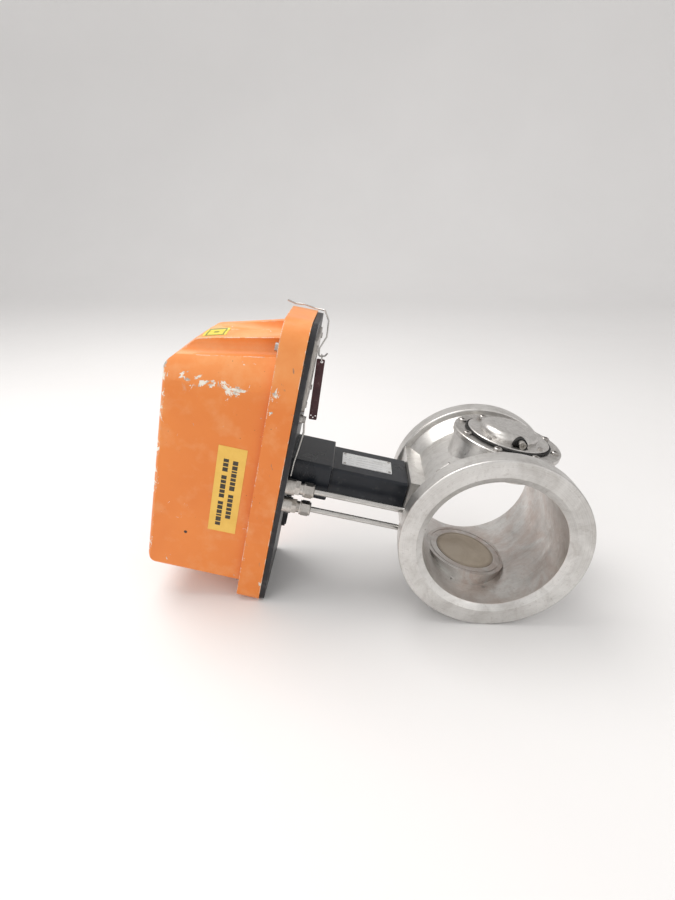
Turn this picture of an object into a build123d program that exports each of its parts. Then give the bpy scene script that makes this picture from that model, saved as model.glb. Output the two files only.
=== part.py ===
"""In-line microwave concentration transmitter: a flanged stainless spool with two
opposed antenna windows, a square neck and a die-cast electronics housing.

Frame: origin at the centre of the pipe bore, +Y along the pipe, +Z up.  The unit
lies as it rests on a bench, so the neck and the housing lean by TILT degrees.
Tilted directions used below: n runs out along the neck towards the housing,
h runs across it (through both antennas), y is the pipe axis.
"""
from build123d import *
import math
import os

# ------------------------------------------------------------------ driving sizes
TILT = 12.1                 # lean of the neck above the horizontal, degrees
FLOOR_Z = -106.0            # the surface the unit lies on

# spool
RING_R = 106.0              # outer radius of the clamping rings
HALF_LEN = 87.0             # half of the face-to-face length
RING_IN = 64.5              # inner face of each ring
BORE_R = 79.2               # pipe bore
MOUTH_R = 86.5              # outer edge of the mouth bevel
MOUTH_D = 4.5               # depth of the mouth bevel
BARREL_R = 88.0             # barrel between the rings
BARREL_Y = 46.0             # where the barrel runs out into the rear cone
BARREL_YF = 53.0            # the same at the front, where the cable tubes pass
CONE_R = 99.0               # cone radius where it meets the ring

# antenna stations (upper, lower): top of the boss measured from the pipe axis
BOSS_R = 60.0
BOSS_TOP = {1: 92.0, -1: 88.0}
WIN_PLANE = 63.0            # window plane inside the bore
WIN_BOSS_R = 50.0
WIN_R = 36.5
CAVITY_R = 46.0
CLAMP_R = 62.3
CLAMP_IN_R = 48.9
CLAMP_T = 6.0
CAP_R = 47.0
SCREW_PCR = 54.6
DOME_R = 33.0

# neck
PAD_N = 100.0
FOOT_N = (100.4, 190.0)
FOOT_Y = 33.0
FOOT_H = (-12.0, 27.0)
HEAD_N = (190.4, 237.5)
HEAD_Y = 38.5
HEAD_H = (-14.0, 31.0)

# housing
BASE_N = (237.5, 243.2)
COVER_N = (244.0, 272.0)
HOUSE_Y = 59.0
HOUSE_TOP = 185.5
HOUSE_CORNER = 30.0
HOUSE_CORNER_LOW = 8.0
RIM_WALL = 4.0
WALL = 3.0
SCREW_POS = [(36.0, 161.5), (-31.0, 151.0), (30.0, -151.5), (-30.0, -151.5)]   # (y, h)

# cable tubes
TUBE_R = 3.25
TUBE_Y = -48.5
TUBE_RUN_R = 93.2           # radius at which the tubes pass round the barrel
TUBE_H = {1: 1.5, -1: -22.0}
TUBE_BEND = {1: 12.0, -1: 20.0}
TUBE_END = 38.0             # angle from the neck direction where each tube ends

C = math.cos(math.radians(TILT))
S = math.sin(math.radians(TILT))
N_DIR = Vector(-C, 0, S)
H_DIR = Vector(S, 0, C)
Y_DIR = Vector(0, 1, 0)
HOUSE_BOT = (FLOOR_Z - COVER_N[0] * S) / C      # the cover's lower edge meets the floor


def pt(n, y, h):
    """Point from tilted coordinates."""
    return Vector(-n * C + h * S, y, n * S + h * C)


def across_n(n, y=0.0, h=0.0):
    """Plane across the neck: local x is -y, local y is h, normal towards the housing."""
    return Plane(origin=pt(n, y, h), x_dir=(0, -1, 0), z_dir=N_DIR)


def across_h(sgn, h, n=0.0, y=0.0):
    """Plane across an antenna: local x is y, local y is n (times sgn), normal outwards."""
    return Plane(origin=pt(n, y, sgn * h), x_dir=(0, 1, 0), z_dir=H_DIR * sgn)


def side(y):
    """Plane of a side view: local x is n, local y is h, normal +Y."""
    return Plane(origin=(0, y, 0), x_dir=N_DIR, z_dir=(0, 1, 0))


def polar(r, deg, sgn):
    """Antenna-plane point at an angle measured from +n towards +y."""
    a = math.radians(deg)
    return (r * math.sin(a), sgn * r * math.cos(a))


CLAMP_ANGLES = [-20.0 + 45.0 * k for k in range(8)]
CAP_ANGLES = [45.0 + 90.0 * k for k in range(4)]
NECK_BOLTS = [(20.0, 7.5 + 8.5), (-20.0, 7.5 + 8.5), (20.0, 7.5 - 8.5), (-20.0, 7.5 - 8.5)]
HEAD_BOLTS = [(26.0, 22.0), (-26.0, 22.0), (26.0, -6.0), (-26.0, -6.0)]
GLAND_POS = {1: (TUBE_Y, TUBE_H[1]), -1: (TUBE_Y, TUBE_H[-1])}
PLATE_SCREWS = [(44.0, 100.0), (-18.0, 100.0), (44.0, 162.0), (-18.0, 162.0)]    # (-y, h)
STANDOFFS = [(34.0, 92.0), (-34.0, 92.0), (34.0, -98.0), (-34.0, -98.0)]


def tube_points(sgn):
    """Key points of a cable tube's centre line in (n, h): straight run, S bend, run round the barrel."""
    hb = TUBE_H[sgn] + sgn * TUBE_BEND[sgn]
    nc = math.sqrt((TUBE_RUN_R + TUBE_BEND[sgn]) ** 2 - hb ** 2)
    a0 = math.atan2(hb, nc)
    a1 = math.radians(sgn * TUBE_END)
    start = (214.0, TUBE_H[sgn])
    bend0 = (nc, TUBE_H[sgn])
    tan = (TUBE_RUN_R * math.cos(a0), TUBE_RUN_R * math.sin(a0))
    amid = (a0 + a1) / 2
    mid = (TUBE_RUN_R * math.cos(amid), TUBE_RUN_R * math.sin(amid))
    end = (TUBE_RUN_R * math.cos(a1), TUBE_RUN_R * math.sin(a1))
    # middle of the bend: on the bend circle, half way round
    ang0 = -sgn * math.pi / 2
    ang1 = math.atan2(-hb, -nc)
    if sgn > 0:
        ang0 = ang0 + 2 * math.pi
        ang1 = ang1 + 2 * math.pi
    am = (ang0 + ang1) / 2
    bmid = (nc + TUBE_BEND[sgn] * math.cos(am), hb + TUBE_BEND[sgn] * math.sin(am))
    return start, bend0, bmid, tan, mid, end


parts = {}


def keep(builder, name):
    builder.part.label = name
    parts[name] = builder.part


# ------------------------------------------------------------------ spool body
FIT_HOLE_R = 4.05
LUG_R = 6.0
for ring_name, end in (("front_ring", -1), ("rear_ring", 1)):
    with BuildPart() as ring:
        with BuildSketch(Plane.XY) as ring_profile:
            with BuildLine():
                Polyline(
                    (BORE_R, end * RING_IN), (RING_R, end * RING_IN), (RING_R, end * HALF_LEN),
                    (MOUTH_R, end * HALF_LEN), (BORE_R, end * (HALF_LEN - MOUTH_D)), (BORE_R, end * RING_IN),
                )
            make_face()
            fillet([v for v in ring_profile.vertices() if abs(v.X - RING_R) < 1e-3], radius=2.2)
        revolve(axis=Axis.Y)
    keep(ring, ring_name)

with BuildPart() as flow_body:
    with BuildSketch(Plane.XY) as spool_profile:
        with BuildLine():
            Polyline(
                (BORE_R - 6.0, -RING_IN), (BORE_R - 6.0, RING_IN), (CONE_R, RING_IN), (BARREL_R, BARREL_Y),
                (BARREL_R, -BARREL_YF), (CONE_R, -RING_IN), (BORE_R - 6.0, -RING_IN),
            )
        make_face()
    revolve(axis=Axis.Y)
    # weld boss of each antenna
    for sgn in (1, -1):
        with BuildSketch(across_h(sgn, 58.0)):
            Circle(BOSS_R)
        extrude(amount=BOSS_TOP[sgn] - 58.0)
    # lug that takes the end of each cable tube
    for sgn in (1, -1):
        a1 = math.radians(sgn * TUBE_END)
        tdir = (N_DIR * (-math.sin(a1) * sgn) + H_DIR * (math.cos(a1) * sgn))
        end = pt(TUBE_RUN_R * math.cos(a1), TUBE_Y, TUBE_RUN_R * math.sin(a1))
        with BuildSketch(Plane(origin=end + tdir * 1.5, x_dir=(0, 1, 0), z_dir=tdir)):
            Circle(LUG_R)
        extrude(amount=12.0)
    # pad that carries the neck
    with BuildSketch(across_n(70.0)):
        with Locations((-(RING_IN - 39.0) / 2, (33.0 - 20.0) / 2)):
            Rectangle(RING_IN + 39.0, 53.0)
    extrude(amount=PAD_N - 70.0)
    # room for the clamp rings
    for sgn in (1, -1):
        with BuildSketch(across_h(sgn, BOSS_TOP[sgn])):
            Circle(CLAMP_R + 0.9)
        extrude(amount=30.0, mode=Mode.SUBTRACT)
    # bore
    with BuildSketch(Plane.XZ.offset(-HALF_LEN)):
        Circle(BORE_R)
    extrude(amount=2 * HALF_LEN, mode=Mode.SUBTRACT)
    # window bosses inside the bore, antenna cavities and tapped holes
    for sgn in (1, -1):
        with BuildSketch(across_h(sgn, WIN_PLANE)):
            Circle(WIN_BOSS_R)
        extrude(amount=20.0)
    for sgn in (1, -1):
        with BuildSketch(across_h(sgn, WIN_PLANE - 1.0)):
            Circle(WIN_R + 0.4)
        extrude(amount=6.0, mode=Mode.SUBTRACT)
        with BuildSketch(across_h(sgn, WIN_PLANE + 3.0)):
            Circle(CAVITY_R)
        extrude(amount=40.0, mode=Mode.SUBTRACT)
        # fine turned groove round the window seat
        with BuildSketch(across_h(sgn, WIN_PLANE)):
            Circle(45.6)
            Circle(44.6, mode=Mode.SUBTRACT)
        extrude(amount=0.7, mode=Mode.SUBTRACT)
        with BuildSketch(across_h(sgn, BOSS_TOP[sgn])):
            with Locations(*[polar(SCREW_PCR, a, sgn) for a in CLAMP_ANGLES]):
                Circle(2.55)
        extrude(amount=-12.0, mode=Mode.SUBTRACT)
        # seat of the cable-tube fitting in its lug
        a1 = math.radians(sgn * TUBE_END)
        tdir = (N_DIR * (-math.sin(a1) * sgn) + H_DIR * (math.cos(a1) * sgn))
        end = pt(TUBE_RUN_R * math.cos(a1), TUBE_Y, TUBE_RUN_R * math.sin(a1))
        with BuildSketch(Plane(origin=end, x_dir=(0, 1, 0), z_dir=tdir)):
            Circle(FIT_HOLE_R)
        extrude(amount=9.0, mode=Mode.SUBTRACT)
    with BuildSketch(across_n(PAD_N)):
        with Locations(*[(-y, h) for y, h in NECK_BOLTS]):
            Circle(2.55)
    extrude(amount=-12.5, mode=Mode.SUBTRACT)
keep(flow_body, "flow_body")

# ------------------------------------------------------------------ antenna stations
for sgn, tag in ((1, "upper"), (-1, "lower")):
    top = BOSS_TOP[sgn]

    with BuildPart() as window:
        with BuildSketch(across_h(sgn, WIN_PLANE - 0.4)):
            Circle(WIN_R)
        extrude(amount=3.4)
        with BuildSketch(across_h(sgn, WIN_PLANE + 3.0)):
            Circle(CAVITY_R - 0.2)
        extrude(amount=5.0)
        with BuildSketch(across_h(sgn, WIN_PLANE - 0.4)):
            Circle(34.9)
            Circle(34.5, mode=Mode.SUBTRACT)
        extrude(amount=0.25, mode=Mode.SUBTRACT)
    keep(window, tag + "_window")

    with BuildPart() as window_seal:
        with BuildSketch(across_h(sgn, WIN_PLANE + 8.0)):
            Circle(45.6)
            Circle(40.5, mode=Mode.SUBTRACT)
        extrude(amount=1.6)
    keep(window_seal, tag + "_window_seal")

    with BuildPart() as retainer:
        with BuildSketch(across_h(sgn, WIN_PLANE + 9.6)):
            Circle(CAVITY_R - 0.2)
            Circle(37.0, mode=Mode.SUBTRACT)
        extrude(amount=top - 0.1 - (WIN_PLANE + 9.6))
        with BuildSketch(across_h(sgn, top)):
            with Locations(*[polar(41.4, a, sgn) for a in CAP_ANGLES]):
                Circle(1.5)
        extrude(amount=-9.0, mode=Mode.SUBTRACT)
    keep(retainer, tag + "_window_retainer")

    with BuildPart() as antenna:
        with BuildSketch(across_h(sgn, WIN_PLANE + 9.8)):
            Circle(36.0)
        extrude(amount=4.0)
        with BuildSketch(across_h(sgn, WIN_PLANE + 13.8)):
            RectangleRounded(30, 30, 3)
        extrude(amount=5.0)
        with BuildSketch(across_h(sgn, WIN_PLANE + 18.8)):
            Circle(5.0)
        extrude(amount=5.0 if sgn < 0 else 12.0)
    keep(antenna, tag + "_antenna")

    with BuildPart() as clamp_ring:
        with BuildSketch(across_h(sgn, top)):
            Circle(CLAMP_R)
            Circle(CLAMP_IN_R, mode=Mode.SUBTRACT)
            with Locations(*[polar(SCREW_PCR, a, sgn) for a in CLAMP_ANGLES]):
                Circle(2.8, mode=Mode.SUBTRACT)
        extrude(amount=CLAMP_T)
        chamfer(clamp_ring.edges().filter_by(GeomType.CIRCLE).filter_by(
            lambda e: abs(e.radius - CLAMP_R) < 0.01 and abs(e.center().dot(H_DIR) * sgn - top - CLAMP_T) < 0.01), 0.9)
        if sgn < 0:
            with BuildSketch(across_h(sgn, top + CLAMP_T)):
                with Locations(*[polar(SCREW_PCR, a, sgn) for a in CLAMP_ANGLES]):
                    Circle(4.9)
            extrude(amount=-3.2, mode=Mode.SUBTRACT)
    keep(clamp_ring, tag + "_clamp_ring")

    head_h = top + CLAMP_T if sgn > 0 else top + CLAMP_T - 3.2
    with BuildPart() as clamp_screws:
        with BuildSketch(across_h(sgn, head_h)):
            with Locations(*[polar(SCREW_PCR, a, sgn) for a in CLAMP_ANGLES]):
                Circle(2.5)
        extrude(amount=-(head_h - top) - 10.5)
        with BuildSketch(across_h(sgn, head_h)):
            with Locations(*[polar(SCREW_PCR, a, sgn) for a in CLAMP_ANGLES]):
                Circle(4.5)
        extrude(amount=2.8)
        chamfer(clamp_screws.edges().filter_by(GeomType.CIRCLE).filter_by(
            lambda e: abs(e.radius - 4.5) < 0.01 and abs(e.center().dot(H_DIR) * sgn - head_h - 2.8) < 0.01), 0.8)
        with BuildSketch(across_h(sgn, head_h + 2.8)):
            with Locations(*[polar(SCREW_PCR, a, sgn) for a in CLAMP_ANGLES]):
                RegularPolygon(2.2, 6)
        extrude(amount=-1.8, mode=Mode.SUBTRACT)
    keep(clamp_screws, tag + "_clamp_screws")

    cap_top = 102.0 if sgn > 0 else 94.8
    dome_h = 9.6 if sgn > 0 else 4.4
    # domed cap: turned profile in local (radius, height), spun about the antenna axis
    cap_plane = Plane(origin=(0, 0, 0), x_dir=(0, 1, 0), z_dir=N_DIR * (-sgn))
    with BuildPart() as cap:
        with BuildSketch(across_h(sgn, top)):
            Circle(CAP_R)
        extrude(amount=cap_top - top)
        chamfer(cap.edges().filter_by(GeomType.CIRCLE).filter_by(
            lambda e: abs(e.center().dot(H_DIR) * sgn - cap_top) < 0.01), 0.7)
        with BuildSketch(across_h(sgn, cap_top)):
            Circle(DOME_R)
        extrude(amount=dome_h)
        fillet(cap.edges().filter_by(GeomType.CIRCLE).filter_by(
            lambda e: abs(e.radius - DOME_R) < 0.01 and abs(e.center().dot(H_DIR) * sgn - cap_top - dome_h) < 0.01),
            dome_h * 0.86)
        # hollow underneath
        with BuildSketch(across_h(sgn, top)):
            Circle(DOME_R - 6.5)
        extrude(amount=cap_top + dome_h - 2.2 - top, mode=Mode.SUBTRACT)
        with BuildSketch(across_h(sgn, top)):
            with Locations(*[polar(41.4, a, sgn) for a in CAP_ANGLES]):
                Circle(1.7)
        extrude(amount=cap_top - top, mode=Mode.SUBTRACT)
        if sgn > 0:
            # arched cable opening in the side of the dome
            with BuildSketch(side(-24.0)):
                with Locations((-4.0, cap_top + 0.6)):
                    Circle(8.6)
            extrude(amount=-16.0, mode=Mode.SUBTRACT)
            # shallow pressed dimple
            with BuildSketch(across_h(1, cap_top + 12.5, n=-30.5, y=-3.0)) as dimple:
                Circle(6.0)
            extrude(amount=-10.0, taper=18.0, mode=Mode.SUBTRACT)
    keep(cap, tag + "_cap")

    with BuildPart() as cap_gasket:
        with BuildSketch(across_h(sgn, top)):
            Circle(CLAMP_IN_R - 0.05)
            Circle(CAP_R + 0.05, mode=Mode.SUBTRACT)
        extrude(amount=CLAMP_T + (1.2 if sgn > 0 else 0.0))
    keep(cap_gasket, tag + "_cap_gasket")

    cap_screw_angles = [a for a in CAP_ANGLES]
    with BuildPart() as cap_screws:
        with BuildSketch(across_h(sgn, cap_top)):
            with Locations(*[polar(41.4, a, sgn) for a in cap_screw_angles]):
                Circle(1.45)
        extrude(amount=-(cap_top - top) - 7.5)
        with BuildSketch(across_h(sgn, cap_top)):
            with Locations(*[polar(41.4, a, sgn) for a in cap_screw_angles]):
                Circle(2.8)
        extrude(amount=1.9)
        with BuildSketch(across_h(sgn, cap_top + 1.9)):
            with Locations(*[polar(41.4, a, sgn) for a in cap_screw_angles]):
                Rectangle(4.4, 0.7)
        extrude(amount=-0.8, mode=Mode.SUBTRACT)
    keep(cap_screws, tag + "_cap_screws")

    # ---- cable tube: straight run, bend, run round the barrel
    start, bend0, bmid, tan, mid, end = tube_points(sgn)
    with BuildPart() as tube:
        with BuildLine(side(TUBE_Y)):
            Line(start, bend0)
            ThreePointArc(bend0, bmid, tan)
            ThreePointArc(tan, mid, end)
        with BuildSketch(across_n(start[0], TUBE_Y, start[1])):
            Circle(TUBE_R)
            Circle(TUBE_R - 1.0, mode=Mode.SUBTRACT)
        sweep()
    keep(tube, tag + "_cable_tube")

    # ---- fitting that takes the tube into the boss
    a1 = math.radians(sgn * TUBE_END)
    tdir = (N_DIR * (-math.sin(a1) * sgn) + H_DIR * (math.cos(a1) * sgn))
    endp = pt(end[0], TUBE_Y, end[1])
    with BuildPart() as fitting:
        with BuildSketch(Plane(origin=endp - tdir * 4.0, x_dir=(0, 1, 0), z_dir=tdir)):
            RegularPolygon(4.9, 6)
        extrude(amount=5.4)
        with BuildSketch(Plane(origin=endp + tdir * 1.4, x_dir=(0, 1, 0), z_dir=tdir)):
            Circle(FIT_HOLE_R - 0.05)
        extrude(amount=7.2)
        # socket for the tube, following its curve
        with BuildSketch(Plane(origin=endp - tdir * 8.0, x_dir=(0, 1, 0), z_dir=tdir)):
            Circle(TUBE_R + 0.45)
        extrude(amount=8.05, mode=Mode.SUBTRACT)
    keep(fitting, tag + "_tube_fitting")

    # ---- gland on the housing's base plate
    gy, gh = GLAND_POS[sgn]
    with BuildPart() as gland_body:
        with BuildSketch(across_n(BASE_N[0], gy, gh)):
            Circle(9.6)
        extrude(amount=-2.2)
        with BuildSketch(across_n(BASE_N[0] - 2.2, gy, gh)) as flare_a:
            Circle(9.3)
        with BuildSketch(across_n(BASE_N[0] - 7.5, gy, gh)) as flare_b:
            Circle(7.6)
        loft([flare_a.sketch, flare_b.sketch])
        with BuildSketch(across_n(BASE_N[0] - 7.5, gy, gh)):
            RegularPolygon(9.2, 6, major_radius=True, rotation=30)
        extrude(amount=-8.0)
        with BuildSketch(across_n(BASE_N[0] - 15.5, gy, gh)):
            Circle(6.6)
        extrude(amount=-4.0)
        with BuildSketch(across_n(BASE_N[0], gy, gh)):
            Circle(5.6)
        extrude(amount=11.0)
        with BuildSketch(across_n(BASE_N[0] - 20.0, gy, gh)):
            Circle(TUBE_R + 0.06)
        extrude(amount=40.0, mode=Mode.SUBTRACT)
    keep(gland_body, tag + "_gland_body")

    with BuildPart() as gland_nut:
        with BuildSketch(across_n(BASE_N[0] - 19.7, gy, gh)):
            Circle(8.4)
        extrude(amount=-2.0)
        with BuildSketch(across_n(BASE_N[0] - 21.7, gy, gh)):
            RegularPolygon(8.9, 6, major_radius=True, rotation=0)
        extrude(amount=-8.3)
        with BuildSketch(across_n(BASE_N[0] - 30.0, gy, gh)):
            Circle(7.9)
        extrude(amount=-2.2)
        chamfer(gland_nut.faces().sort_by(Axis(origin=(0, 0, 0), direction=N_DIR))[0].edges(), 0.8)
        with BuildSketch(across_n(BASE_N[0] - 18.0, gy, gh)):
            Circle(TUBE_R + 0.06)
        extrude(amount=-20.0, mode=Mode.SUBTRACT)
    keep(gland_nut, tag + "_gland_nut")

    with BuildPart() as locknut:
        with BuildSketch(across_n(240.6, gy, gh)):
            RegularPolygon(7.4, 6, major_radius=True)
            Circle(5.7, mode=Mode.SUBTRACT)
        extrude(amount=2.4)
    keep(locknut, tag + "_gland_locknut")

# connector in the dome's cable opening
with BuildPart() as cap_connector:
    with BuildSketch(side(-43.0)):
        with Locations((-4.0, 106.2)):
            Circle(3.9)
    extrude(amount=7.0)
    with BuildSketch(side(-36.0)):
        with Locations((-4.0, 106.2)):
            Circle(3.0)
    extrude(amount=12.0)
    with BuildSketch(side(-43.0)):
        with Locations((-4.0, 106.2)):
            Circle(1.6)
    extrude(amount=4.0, mode=Mode.SUBTRACT)
keep(cap_connector, "upper_cap_connector")

with BuildPart() as cap_grommet:
    with BuildSketch(side(-35.4)) as grommet_sketch:
        with Locations((-4.0, 102.6)):
            Circle(8.4)
        with Locations((-4.0, 106.2)):
            Circle(4.0, mode=Mode.SUBTRACT)
        with Locations((-4.0, 92.05)):
            Rectangle(30.0, 20.0, mode=Mode.SUBTRACT)
    extrude(amount=6.4)
    # the grommet stands in the opening of the wall only
    with BuildSketch(side(-35.4)):
        with Locations((-4.0, 106.2)):
            Circle(4.0)
    extrude(amount=6.4, mode=Mode.SUBTRACT)
keep(cap_grommet, "upper_cap_grommet")

# ------------------------------------------------------------------ neck
FOOT_HC = (FOOT_H[0] + FOOT_H[1]) / 2
FOOT_HH = FOOT_H[1] - FOOT_H[0]
HEAD_HC = (HEAD_H[0] + HEAD_H[1]) / 2
HEAD_HH = HEAD_H[1] - HEAD_H[0]
SPIGOT_Y, SPIGOT_HH = 29.0, 31.0
with BuildPart() as neck_foot:
    with BuildSketch(across_n(FOOT_N[0], 0, FOOT_HC)):
        RectangleRounded(2 * FOOT_Y, FOOT_HH, 3.2)
    extrude(amount=FOOT_N[1] - FOOT_N[0])
    chamfer(neck_foot.faces().sort_by(Axis(origin=(0, 0, 0), direction=N_DIR))[0].edges(), 1.2)
    with BuildSketch(across_n(FOOT_N[1], 0, FOOT_HC)):
        RectangleRounded(2 * SPIGOT_Y, SPIGOT_HH, 2.0)
    extrude(amount=15.0)
    with BuildSketch(across_n(FOOT_N[0] + 7.0, 0, FOOT_HC)):
        RectangleRounded(2 * SPIGOT_Y - 7.0, SPIGOT_HH - 7.0, 2.0)
    extrude(amount=200.0, mode=Mode.SUBTRACT)
    with BuildSketch(across_n(FOOT_N[0])):
        with Locations(*[(-y, h) for y, h in NECK_BOLTS]):
            Circle(2.8)
    extrude(amount=10.0, mode=Mode.SUBTRACT)
keep(neck_foot, "neck_foot")

with BuildPart() as foot_gasket:
    with BuildSketch(across_n(PAD_N, 0, FOOT_HC)):
        RectangleRounded(2 * FOOT_Y - 4.0, FOOT_HH - 4.0, 2.0)
        with Locations(*[(-y, h - FOOT_HC) for y, h in NECK_BOLTS]):
            Circle(2.8, mode=Mode.SUBTRACT)
    extrude(amount=0.4)
keep(foot_gasket, "neck_foot_gasket")

with BuildPart() as neck_bolts:
    with BuildSketch(across_n(FOOT_N[0] + 7.0)):
        with Locations(*[(-y, h) for y, h in NECK_BOLTS]):
            Circle(2.5)
    extrude(amount=-18.5)
    with BuildSketch(across_n(FOOT_N[0] + 7.0)):
        with Locations(*[(-y, h) for y, h in NECK_BOLTS]):
            RegularPolygon(3.2, 6)
    extrude(amount=4.0)
keep(neck_bolts, "neck_bolts")

with BuildPart() as neck_head:
    with BuildSketch(across_n(HEAD_N[0], 0, HEAD_HC)):
        RectangleRounded(2 * HEAD_Y, HEAD_HH, 4.0)
    extrude(amount=HEAD_N[1] - HEAD_N[0])
    chamfer(neck_head.faces().sort_by(Axis(origin=(0, 0, 0), direction=N_DIR))[0].edges(), 1.0)
    with BuildSketch(across_n(HEAD_N[0], 0, FOOT_HC)):
        RectangleRounded(2 * SPIGOT_Y + 0.3, SPIGOT_HH + 0.3, 2.0)
    extrude(amount=HEAD_N[1] - HEAD_N[0] - 8.0, mode=Mode.SUBTRACT)
    with BuildSketch(across_n(HEAD_N[1])):
        with Locations(*[(-y, h) for y, h in HEAD_BOLTS]):
            Circle(2.55)
    extrude(amount=-7.0, mode=Mode.SUBTRACT)
    # two clamping screws in the far side
    with BuildSketch(side(HEAD_Y)):
        with Locations((198.0, 16.0), (198.0, -1.0)):
            Circle(2.05)
    extrude(amount=-11.0, mode=Mode.SUBTRACT)
keep(neck_head, "neck_head")

with BuildPart() as neck_set_screws:
    with BuildSketch(side(HEAD_Y - 0.4)):
        with Locations((198.0, 16.0), (198.0, -1.0)):
            Circle(2.0)
    extrude(amount=-9.0)
    with BuildSketch(side(HEAD_Y - 0.4)):
        with Locations((198.0, 16.0), (198.0, -1.0)):
            RegularPolygon(1.1, 6)
    extrude(amount=-2.5, mode=Mode.SUBTRACT)
keep(neck_set_screws, "neck_set_screws")

with BuildPart() as head_bolts:
    with BuildSketch(across_n(240.5)):
        with Locations(*[(-y, h) for y, h in HEAD_BOLTS]):
            Circle(2.5)
    extrude(amount=-9.0)
    with BuildSketch(across_n(240.5)):
        with Locations(*[(-y, h) for y, h in HEAD_BOLTS]):
            Circle(4.3)
    extrude(amount=4.0)
    with BuildSketch(across_n(244.5)):
        with Locations(*[(-y, h) for y, h in HEAD_BOLTS]):
            RegularPolygon(2.2, 6)
    extrude(amount=-2.4, mode=Mode.SUBTRACT)
keep(head_bolts, "neck_head_bolts")

with BuildPart() as nameplate:
    with BuildSketch(across_h(1, FOOT_H[1], n=150.0)):
        RectangleRounded(32.0, 60.0, 1.2)
        with GridLocations(26.0, 54.0, 2, 2):
            Circle(1.05, mode=Mode.SUBTRACT)
    extrude(amount=0.8)
keep(nameplate, "nameplate")

with BuildPart() as nameplate_rivets:
    with BuildSketch(across_h(1, FOOT_H[1], n=150.0)):
        with GridLocations(26.0, 54.0, 2, 2):
            Circle(1.0)
    extrude(amount=0.8)
    with BuildSketch(across_h(1, FOOT_H[1] + 0.8, n=150.0)):
        with GridLocations(26.0, 54.0, 2, 2):
            Circle(1.6)
    extrude(amount=0.6)
keep(nameplate_rivets, "nameplate_rivets")

# ------------------------------------------------------------------ housing base
def outline(n, inset):
    """Housing outline: large corners at the top, small ones at the bottom."""
    with BuildSketch(across_n(n, 0, HOUSE_MID)) as sk:
        Rectangle(2 * (HOUSE_Y - inset), HOUSE_LEN - 2 * inset)
        fillet([v for v in sk.vertices() if v.Y > 0], radius=HOUSE_CORNER - inset)
        fillet([v for v in sk.vertices() if v.Y < 0 and abs(v.X) > HOUSE_Y - inset - 0.1 and v.Y < -HOUSE_LEN / 2 + inset + 0.1],
               radius=max(HOUSE_CORNER_LOW - inset, 1.5))
    return sk.sketch


HOUSE_MID = (HOUSE_TOP + HOUSE_BOT) / 2
HOUSE_LEN = HOUSE_TOP - HOUSE_BOT
BASE_INSET = 1.7
base_outline = outline(BASE_N[0], BASE_INSET)
with BuildPart() as base_housing:
    extrude(base_outline, amount=BASE_N[1] - BASE_N[0])
    with BuildSketch(across_n(240.5, 0, 0.0)):
        RectangleRounded(2 * 49.0, 2 * 138.0, 12.0)
        with Locations(*[(-g[0], g[1]) for g in GLAND_POS.values()]):
            Circle(7.7)
    extrude(amount=5.0, mode=Mode.SUBTRACT)
    # stiffening ribs across the floor of the pocket
    with BuildSketch(across_n(240.5)):
        with Locations((0, 112.0), (0, 62.0), (0, -58.0), (0, -114.0)):
            Rectangle(98.0, 2.4)
    extrude(amount=1.8)
    with BuildSketch(across_n(BASE_N[0])):
        with Locations(*[(-y, h) for y, h in HEAD_BOLTS]):
            Circle(2.7)
        with Locations((-GLAND_POS[1][0], GLAND_POS[1][1]), (-GLAND_POS[-1][0], GLAND_POS[-1][1])):
            Circle(5.7)
    extrude(amount=10.0, mode=Mode.SUBTRACT)
    with BuildSketch(across_n(BASE_N[1])):
        with Locations(*[(-y, h) for y, h in SCREW_POS]):
            Circle(3.0)
    extrude(amount=-4.4, mode=Mode.SUBTRACT)
    with BuildSketch(across_n(BASE_N[0])):
        with Locations(*PLATE_SCREWS):
            Circle(1.6)
        with Locations((47.0, 84.0)):
            Circle(2.1)
        with Locations((-38.0, -60.0), (-38.0, -96.0)):
            Circle(8.1)
    extrude(amount=3.0, mode=Mode.SUBTRACT)
keep(base_housing, "base_housing")

gasket_out = outline(BASE_N[1], 2.0)
gasket_in = outline(BASE_N[1], 4.2)
with BuildPart() as cover_gasket:
    extrude(gasket_out, amount=COVER_N[0] - BASE_N[1] - 0.05)
    extrude(gasket_in, amount=COVER_N[0] - BASE_N[1] - 0.05, mode=Mode.SUBTRACT)
keep(cover_gasket, "cover_gasket")

# ------------------------------------------------------------------ cover
# The roof is rounded on the -Y side and fuller on the +Y side, and is fluted by
# round-bottomed channels that deepen towards the rim.
GROOVES = [    # ((n, y, h) at the rim end, (n, y, h) at the front end, radius)
    ((256.0, -31.0, 154.5), (392.0, -28.5, 127.5), 11.0),
    ((250.0, 6.0, 173.5), (352.0, 5.0, 163.0), 14.0),
    ((256.0, 36.0, 163.5), (392.0, 33.0, 140.0), 10.0),
]
FRONT_N = 387.5
FRONT_Y = 50.0              # half width at the front
BODY_LOW = -141.0
LOW_FRONT_R = 18.0
SLOPE = ((FRONT_N, 113.5), (350.0, 150.0))      # (n, h) of the chamfer between roof and front


def shell_section(n, half, near, crown, far, bottom, corner):
    """Body section, (y, h) turned into the plane's (-y, h)."""
    with BuildSketch(across_n(n)) as sk:
        with BuildLine():
            Polyline((half, near), (half, bottom), (-half, bottom), (-half, far))
            rise = crown - 7.0 - near
            ThreePointArc((half, near), (half * 0.74, near + rise * 0.60), (half * 0.40, near + rise * 0.93))
            ThreePointArc((half * 0.40, near + rise * 0.93), (half * 0.19, near + rise * 0.988), (-2.0, crown - 7.0))
            ThreePointArc((-2.0, crown - 7.0), (-half * 0.72, crown - 5.0), (-half, far))
        make_face()
        fillet([v for v in sk.vertices() if abs(v.Y - bottom) < 1e-3], radius=corner)
    return sk.sketch


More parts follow.
